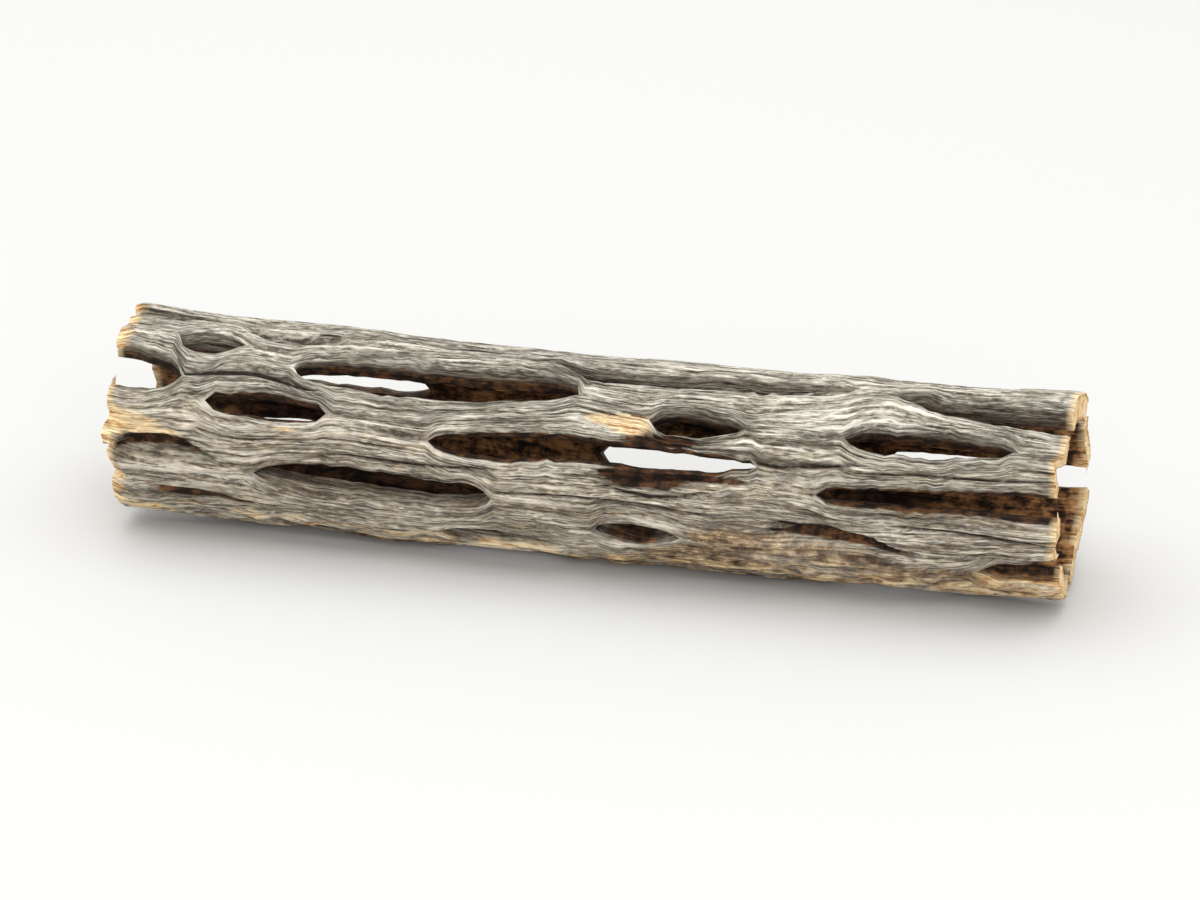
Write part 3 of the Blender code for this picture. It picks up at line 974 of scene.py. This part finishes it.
def weathered_wood(colours):
    """Grey streaky skin that turns brown towards the bore, with bare wood where it is chipped."""
    board = NodeBoard("streaked_grey_wood")
    grain = board.shade("grain")
    inner, groove, rim, warm, bare = [board.shade(name) for name in ("inner", "groove", "rim", "warm", "bare")]
    coarse = board.noise(grain, 95, 0.95, 4, 0.62)
    fine = board.noise(grain, 210, 2.6, 3, 0.6)
    flecks = board.noise(grain, 420, 2.2, 2, 0.5)
    broad = board.noise(grain, 260, 0.2, 2, 0.5)
    mottle = board.noise(grain, 1000, 0.42, 4, 0.65)
    long_lines = board.furrows(board.noise(grain, 55, 0.8, 1, 0.5), 0.06)
    short_lines = board.furrows(board.noise(grain, 120, 1.7, 1, 0.5), 0.07)
    long_lines = board.times(long_lines, board.step(flecks, 0.4, 0.56, 0.25, 1.0))
    short_lines = board.times(short_lines, board.step(broad, 0.42, 0.6, 0.15, 0.8))
    lines = board.math("MAXIMUM", long_lines, short_lines)
    tone = board.weighed(0.6, coarse, fine)
    blotches = board.weighed(0.7, mottle, coarse)

    dark, grey, pale, bore = colours.grain, colours.grey, colours.pale, colours.bore
    rust, tan, orange, cream = colours.rust, colours.tan, colours.orange, colours.cream
    brown = mixed(dark, UMBER, 0.6)
    black = mixed(bore, DARK_AND_SHADE_BLACK, 0.8)
    stained_orange = mixed(orange, brown, 0.5)

    # The grey skin
    streaks = (
        (0.38, mixed(dark, grey, 0.15)), (0.44, mixed(dark, grey, 0.7)), (0.50, mixed(grey, pale, 0.35)), (0.57, pale),
    )
    skin = board.ramp(tone, streaks)
    skin = board.mix(board.step(broad, 0.4, 0.66, 0, 0.3), skin, DULL_GREY)
    skin = board.mix(board.step(flecks, 0.60, 0.70, 0, 0.4), skin, mixed(pale, cream, 0.25))
    skin = board.mix(board.times(lines, 0.75), skin, dark)
    # Darker along the groove column: grain, splits, marks and torn rims, with painted shade in splits, walls and pits.
    skin = board.mix(board.times(groove, board.step(fine, 0.3, 0.6, 1.0, 0.7)), skin, dark)
    # Painted highlight: pale along the lower rims of the openings.
    skin = board.mix(board.times(rim, board.step(coarse, 0.42, 0.6, 0.0, 0.6)), skin, pale)

    # The tan underside
    patches = ((0.36, brown), (0.45, mixed(tan, dark, 0.4)), (0.53, tan), (0.64, mixed(tan, cream, 0.7)))
    under = board.ramp(mottle, patches)
    under = board.mix(board.times(lines, 0.7), under, brown)
    under = board.mix(board.times(groove, 0.8), under, brown)
    # On the skin the warm column is the tan underside; on lower walls that face up it is painted light.
    skin = board.mix(board.times(warm, board.step(broad, 0.3, 0.6, 0.6, 0.95)), skin, under)

    # The walls of the openings and the bore
    wall_tones = ((0.38, mixed(dark, black, 0.3)), (0.48, mixed(dark, grey, 0.45)), (0.6, mixed(dark, grey, 0.95)))
    wall = board.mix(board.times(lines, 0.7), board.ramp(tone, wall_tones), mixed(dark, black, 0.5))
    # The inner column browns the walls inwards, with painted shade in dark openings and under the pits' upper edges.
    skin = board.mix(board.times(board.step(inner, 0.04, 0.25), board.math("SUBTRACT", 1, warm)), skin, wall)
    hollow = board.ramp(blotches, ((0.43, black), (0.5, bore), (0.59, rust)))
    # Black along the bore's grain lines, and painted shade: black where the bore lies in shade and deep in the walls.
    hollow = board.mix(board.times(groove, 0.8), hollow, black)
    # Painted light: rust and orange where light reaches into the bore and on lower walls that face up.
    painted_lit_hollow = board.ramp(blotches, ((0.43, mixed(bore, black, 0.6)), (0.49, rust), (0.58, orange)))
    hollow = board.mix(board.times(warm, board.step(groove, 0.3, 0.8, 0.8, 0.1)), hollow, painted_lit_hollow)
    skin = board.mix(board.step(inner, 0.55, 0.92), skin, hollow)

    # Bare wood, with a painted highlight on some lower rims, and black in the darkest marks and as painted shade in the
    # deepest splits
    fresh_tones = ((0.37, stained_orange), (0.43, orange), (0.48, mixed(orange, cream, 0.75)), (0.54, cream))
    fresh = board.mix(board.times(short_lines, 0.45), board.ramp(tone, fresh_tones), stained_orange)
    skin = board.mix(board.times(bare, board.step(fine, 0.25, 0.5, 0.75, 1.0)), skin, fresh)
    skin = board.mix(board.step(groove, 0.86, 1.0, 0, 0.8), skin, black)
    relief = board.math("SUBTRACT", tone, board.times(lines, 0.35))
    board.finish(skin, board.step(coarse, 0.3, 0.7, 0.95, 0.78), relief, 0.5 * MM)
    return board.material


def sawn_wood(colours):
    """The cut ends: pale wood with orange stains and open pores."""
    board = NodeBoard("sawn_wood")
    grain = board.shade("grain")
    depth = board.shade("depth")
    pores = board.noise(grain, 1000, 2.6, 3, 0.6)
    stain = board.noise(grain, 1000, 0.42, 2, 0.5)
    cream, orange, bore = colours.cream, colours.orange, colours.bore
    face = board.ramp(stain, ((0.4, cream), (0.56, mixed(cream, orange, 0.45)), (0.7, orange)))
    face = board.mix(board.step(pores, 0.56, 0.7, 0, 0.55), face, mixed(orange, bore, 0.5))
    from_middle = board.math("ABSOLUTE", board.math("SUBTRACT", depth, 0.5), 0)
    face = board.mix(board.step(from_middle, 0.34, 0.5, 0, 0.65), face, mixed(orange, bore, 0.4))
    board.finish(face, 0.85, pores, 0.25 * MM)
    return board.material


class CHOLLA_OT_netted_wood(bpy.types.Operator):
    """Build the hollow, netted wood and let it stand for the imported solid"""

    bl_idname = "cholla.netted_wood"
    bl_label = "Netted Wood"

    def execute(self, context):
        sizes = context.scene.cholla_sizes
        colours = context.scene.cholla_colours
        x = np.linspace(-sizes.length / 2, sizes.length / 2, STATIONS + 1)
        opened = open_places(x)
        bore_opened = opened[::BORE_STEP]
        skin = skin_table(sizes, x, opened)
        bore = bore_table(sizes, x, opened)
        keys = column_keys(x, opened)
        walls = wall_table(sizes, keys, skin, bore, opened, painted_wall_shade(x))

        skin_numbers = numbered(opened)
        skin_list = listed(skin, opened)
        bore_numbers = numbered(bore_opened) + len(skin_list)
        bore_list = listed(bore, bore_opened)
        start = len(skin_list) + len(bore_list)
        wall_numbers = start + np.arange(len(keys) * (WALL_ROWS - 1)).reshape(len(keys), -1)
        columns = dict(zip(keys, wall_numbers.tolist()))
        table = np.concatenate([skin_list, bore_list, walls.reshape(-1, COLUMNS)])

        wall_faces, end_faces = join_walls(x, opened, skin_numbers, bore_numbers, columns)
        faces = sheet_faces(skin_numbers).tolist() + sheet_faces(bore_numbers)[:, ::-1].tolist()
        faces += wall_faces + end_faces
        shades = {name: table[:, column] for name, column in SHADES.items()}
        materials = [weathered_wood(colours), sawn_wood(colours)]
        wood = finish_mesh("netted_wood", placed(sizes, table), faces, grain_space(sizes, table), shades, materials)
        slots = np.full(len(faces), WEATHERED, np.int32)
        slots[len(faces) - len(end_faces) :] = SAWN
        wood.data.polygons.foreach_set("material_index", slots)
        wood.data.set_sharp_from_angle(angle=np.radians(EDGE_ANGLE))
        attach(wood, "root")
        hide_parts("cholla_skeleton")
        return {"FINISHED"}


def soft_light(name, location, size, power, colour):
    """A large square light that faces the log."""
    light = bpy.data.lights.new(name, "AREA")
    light.energy = power
    light.size = size
    light.color = colour
    lamp = bpy.data.objects.new(name, light)
    lamp.location = location
    lamp.rotation_euler = (Vector(location) - Vector(LIT_POINT)).to_track_quat("Z", "Y").to_euler()
    bpy.context.scene.collection.objects.link(lamp)


class CHOLLA_OT_stage(bpy.types.Operator):
    """Lay the pale floor and set the soft light and the camera"""

    bl_idname = "cholla.stage"
    bl_label = "Stage"

    def execute(self, context):
        settings = context.scene.cholla_stage
        mesh = bpy.data.meshes.new("floor")
        corners = [(across, along, 0) for across, along in ((-1, -1), (1, -1), (1, 1), (-1, 1))]
        mesh.from_pydata([FLOOR_REACH * Vector(corner) for corner in corners], [], [(0, 1, 2, 3)])
        floor = bpy.data.objects.new("floor", mesh)
        context.scene.collection.objects.link(floor)
        board = NodeBoard("pale_floor")
        values = {"Base Color": linear(settings.floor), "Roughness": 0.9, "Specular IOR Level": 0.1}
        board.feed(board.shader.inputs, values)
        mesh.materials.append(board.material)

        world = bpy.data.worlds.new("daylight")
        world.use_nodes = True
        sky = world.node_tree.nodes["Background"]
        sky.inputs["Color"].default_value = (1.0, 0.985, 0.945, 1)
        sky.inputs["Strength"].default_value = settings.daylight
        context.scene.world = world
        soft_light("key_light", (-0.1, 0.02, 0.8), 1.1, settings.key, (0.96, 0.98, 1.0))
        soft_light("fill_light", (0.3, -0.8, 0.45), 0.5, settings.fill, (1.0, 1.0, 1.0))

        lens_data = bpy.data.cameras.new("camera")
        lens_data.lens = CAMERA_LENS
        lens_data.sensor_width = 36
        lens_data.clip_start = 0.05
        lens_data.clip_end = 20
        camera = bpy.data.objects.new("camera", lens_data)
        azimuth, elevation = np.radians(CAMERA_AZIMUTH), np.radians(CAMERA_ELEVATION)
        back = Vector((np.sin(azimuth) * np.cos(elevation), -np.cos(azimuth) * np.cos(elevation), np.sin(elevation)))
        camera.location = Vector(AIM) + back * CAMERA_DISTANCE
        camera.rotation_euler = back.to_track_quat("Z", "Y").to_euler()
        context.scene.collection.objects.link(camera)
        context.scene.camera = camera
        context.scene.view_settings.view_transform = "Standard"
        return {"FINISHED"}


class CHOLLA_PT_sidebar(bpy.types.Panel):
    """Sizes, colours and pieces of the log"""

    bl_idname = "CHOLLA_PT_sidebar"
    bl_label = "Cholla Skeleton"
    bl_space_type = "VIEW_3D"
    bl_region_type = "UI"
    bl_category = "Cholla"

    def draw(self, context):
        layout = self.layout
        for group in ("cholla_sizes", "cholla_colours", "cholla_stage"):
            settings = getattr(context.scene, group)
            box = layout.box()
            for name in settings.bl_rna.properties.keys():
                if name not in ("rna_type", "name"):
                    box.prop(settings, name)
        for operator in OPERATORS:
            layout.operator(operator.bl_idname)


OPERATORS = (CHOLLA_OT_netted_wood, CHOLLA_OT_stage)
CLASSES = (SkeletonSizes, WoodColours, StageSettings, *OPERATORS, CHOLLA_PT_sidebar)


def register():
    for one in CLASSES:
        bpy.utils.register_class(one)
    bpy.types.Scene.cholla_sizes = PointerProperty(type=SkeletonSizes)
    bpy.types.Scene.cholla_colours = PointerProperty(type=WoodColours)
    bpy.types.Scene.cholla_stage = PointerProperty(type=StageSettings)


def unregister():
    del bpy.types.Scene.cholla_stage
    del bpy.types.Scene.cholla_colours
    del bpy.types.Scene.cholla_sizes
    for one in reversed(CLASSES):
        bpy.utils.unregister_class(one)


def main():
    register()
    bpy.ops.cholla.netted_wood()
    bpy.ops.cholla.stage()


if __name__ == "__main__":
    main()
